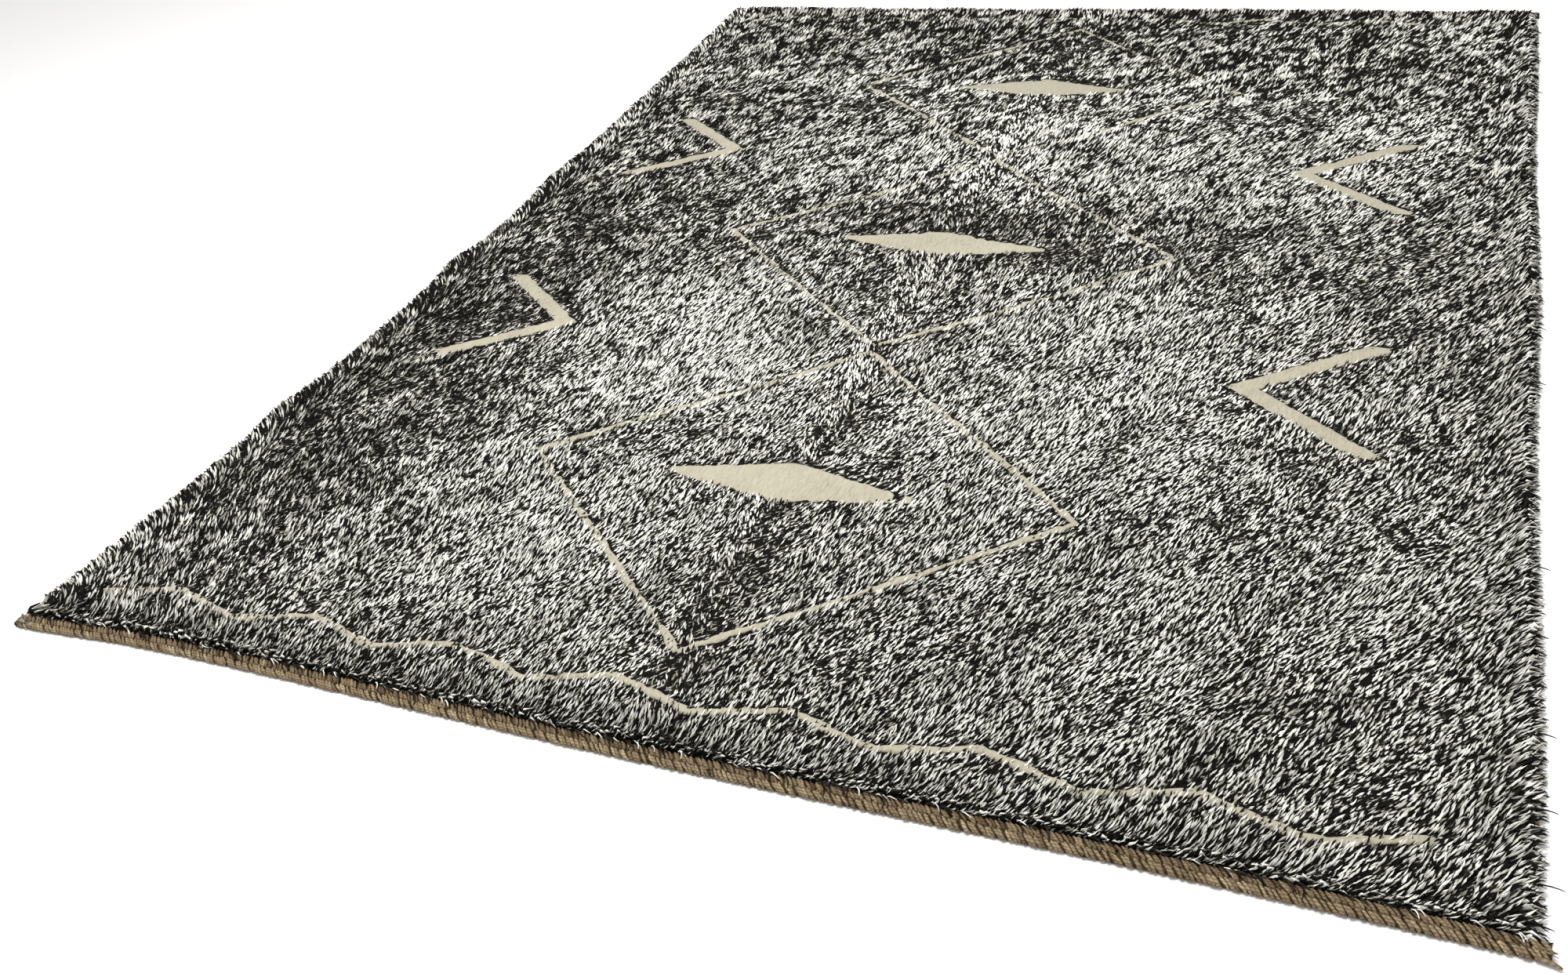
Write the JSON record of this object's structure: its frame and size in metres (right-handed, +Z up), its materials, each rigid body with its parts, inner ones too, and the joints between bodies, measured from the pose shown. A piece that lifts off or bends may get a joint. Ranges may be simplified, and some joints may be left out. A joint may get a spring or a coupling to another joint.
{
  "type": "shag rug",
  "caption": "Flat rectangular shag rug with a deep cut pile, low-cut lozenge and chevron motifs, and an overcast yarn binding along every edge.",
  "frame": {"origin": "on the floor under the middle of the rug, at the bottom centre of its box", "axes": "+X across the rug's width, +Y along its length from the near end to the far end, +Z up out of the pile"},
  "size_m": [1.9981, 2.62, 0.028],
  "materials": {
    "heather_pile": "cut wool pile, black and pale grey yarn mixed",
    "taupe_yarn": "plied matt yarn, sewn over the edge in slanting stitches"
  },
  "bodies": {
    "root": {"field": "heather_pile", "binding_near": "taupe_yarn", "binding_far": "taupe_yarn", "binding_left": "taupe_yarn", "binding_right": "taupe_yarn"}
  },
  "joints": []
}
